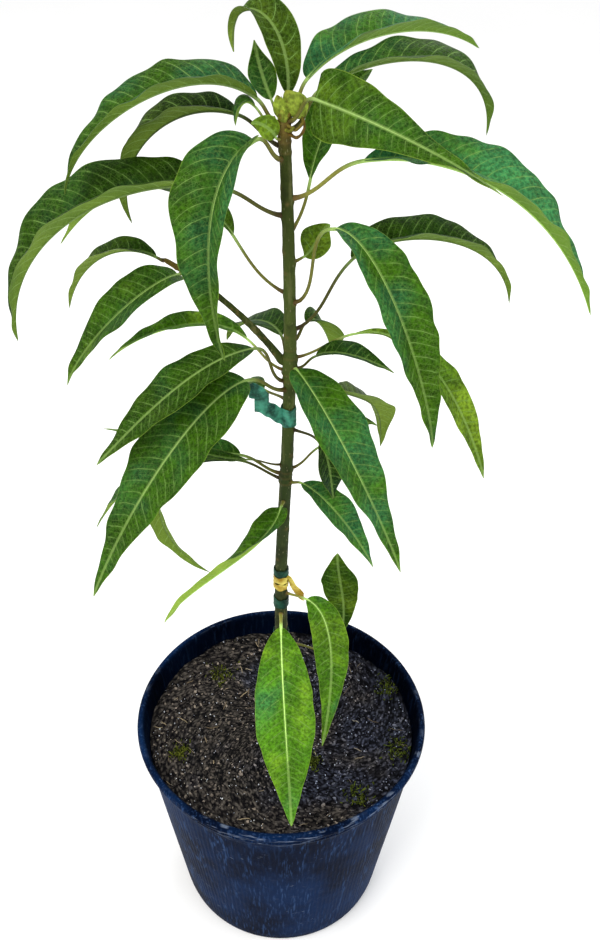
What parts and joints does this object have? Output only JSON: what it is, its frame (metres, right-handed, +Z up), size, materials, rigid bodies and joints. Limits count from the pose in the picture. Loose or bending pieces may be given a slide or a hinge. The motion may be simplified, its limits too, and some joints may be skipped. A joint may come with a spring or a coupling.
{
  "type": "mango tree sapling",
  "caption": "Young mango tree with a slender stem, a side shoot and long drooping leaves, growing in a round dark nursery pot.",
  "frame": {"origin": "centre of the pot's flat underside", "axes": "+Z up along the stem, -Y towards the side that is looked at"},
  "size_m": [0.3928, 0.279, 0.8739],
  "materials": {
    "pot_plastic": "satin",
    "potting_mix": "matt",
    "bark": "matt",
    "bud": "matt",
    "leaf": "satin",
    "tape_teal": "satin",
    "tape_yellow": "satin",
    "tape_green": "satin"
  },
  "bodies": {
    "root": {"growing_tip": "bud", "leaf_foot_1": "leaf", "leaf_foot_2": "leaf", "leaf_foot_3": "leaf", "leaf_lower_1": "leaf", "leaf_lower_2": "leaf", "leaf_lower_3": "leaf", "leaf_lower_4": "leaf", "leaf_lower_5": "leaf", "leaf_lower_6": "leaf", "leaf_lower_7": "leaf", "leaf_middle_1": "leaf", "leaf_middle_10": "leaf", "leaf_middle_11": "leaf", "leaf_middle_12": "leaf", "leaf_middle_2": "leaf", "leaf_middle_3": "leaf", "leaf_middle_4": "leaf", "leaf_middle_5": "leaf", "leaf_middle_6": "leaf", "leaf_middle_7": "leaf", "leaf_middle_8": "leaf", "leaf_middle_9": "leaf", "leaf_shoot_1": "leaf", "leaf_shoot_2": "leaf", "leaf_top_1": "leaf", "leaf_top_2": "leaf", "leaf_top_3": "leaf", "leaf_top_4": "leaf", "leaf_top_5": "leaf", "leaf_top_6": "leaf", "leaf_top_7": "leaf", "leaf_top_8": "leaf", "leaf_upper_1": "leaf", "leaf_upper_2": "leaf", "leaf_upper_3": "leaf", "leaf_upper_4": "leaf", "leaf_upper_5": "leaf", "leaf_upper_6": "leaf", "leaf_upper_7": "leaf", "leaf_young_1": "leaf", "pot": "pot_plastic", "potting_mix": "potting_mix", "side_shoot": "bark", "stem": "bark", "tape_green": "tape_green", "tape_low": "tape_green", "tape_top": "tape_teal", "tape_yellow": "tape_yellow"}
  },
  "joints": []
}
